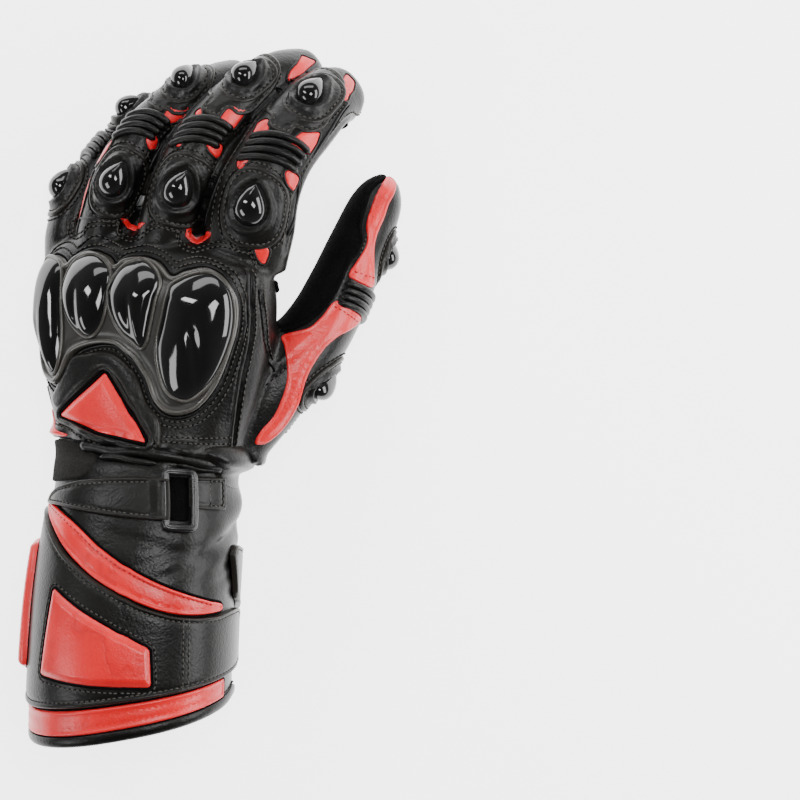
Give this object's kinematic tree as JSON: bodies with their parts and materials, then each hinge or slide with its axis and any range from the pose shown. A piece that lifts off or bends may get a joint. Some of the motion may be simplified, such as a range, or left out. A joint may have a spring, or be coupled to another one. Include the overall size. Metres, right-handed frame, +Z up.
{
  "type": "motorcycle glove",
  "caption": "Left gauntlet glove for motorcycling in black and red leather, with hard knuckle armour, domed finger guards, a wrist strap and a wide cuff with a closing flap.",
  "frame": {"origin": "the middle of the glove's footprint on the surface that it lies on", "axes": "+X towards the thumb, +Y from the cuff towards the fingertips, +Z up out of the back of the hand"},
  "size_m": [0.1629, 0.298, 0.0845],
  "materials": {
    "black_leather": "soft semi-gloss grained leather",
    "red_leather": "soft semi-gloss grained leather",
    "gloss_armour": "polished hard plastic",
    "satin_frame": "satin moulded rubbery plastic",
    "suede": "napped suede",
    "black_plastic": "satin moulded plastic"
  },
  "bodies": {
    "root": {"cuff": "black_leather", "hand": "black_leather", "index_finger": "black_leather", "middle_finger": "black_leather", "ring_finger": "black_leather", "little_finger": "black_leather", "thumb": "black_leather", "knuckle_frame": "satin_frame", "index_knuckle_shell": "gloss_armour", "middle_knuckle_shell": "gloss_armour", "ring_knuckle_shell": "gloss_armour", "little_knuckle_shell": "gloss_armour", "index_collar_1": "black_leather", "index_dome_1": "gloss_armour", "index_collar_2": "black_leather", "index_dome_2": "gloss_armour", "middle_collar_1": "black_leather", "middle_dome_1": "gloss_armour", "middle_collar_2": "black_leather", "middle_dome_2": "gloss_armour", "ring_collar_1": "black_leather", "ring_dome_1": "gloss_armour", "ring_collar_2": "black_leather", "ring_dome_2": "gloss_armour", "little_collar_1": "black_leather", "little_dome_1": "gloss_armour", "little_collar_2": "black_leather", "little_dome_2": "gloss_armour", "thumb_collar_1": "black_leather", "thumb_dome_1": "gloss_armour", "thumb_collar_2": "black_leather", "thumb_dome_2": "gloss_armour", "index_stretch_panel": "black_leather", "middle_stretch_panel": "black_leather", "ring_stretch_panel": "black_leather", "little_stretch_panel": "black_leather", "thumb_stretch_panel": "black_leather", "red_hand_pad": "red_leather", "wrist_strap": "black_leather", "ring_tab": "black_leather", "strap_ring": "black_plastic", "wrist_stretch_panel": "black_leather", "upper_red_band": "red_leather", "closing_flap": "black_leather", "flap_red_pad": "red_leather", "side_red_pad": "red_leather", "flap_palm_pad": "black_leather", "lower_red_band": "red_leather", "rim_binding": "black_leather", "palm_patch": "suede", "thumb_web_patch": "suede", "heel_pad": "black_leather", "edge_pad_1": "black_leather", "edge_pad_2": "black_leather", "edge_pad_3": "black_leather", "index_tip_patch": "suede", "middle_tip_patch": "suede", "ring_tip_patch": "suede", "thumb_tip_patch": "suede"}
  },
  "joints": []
}
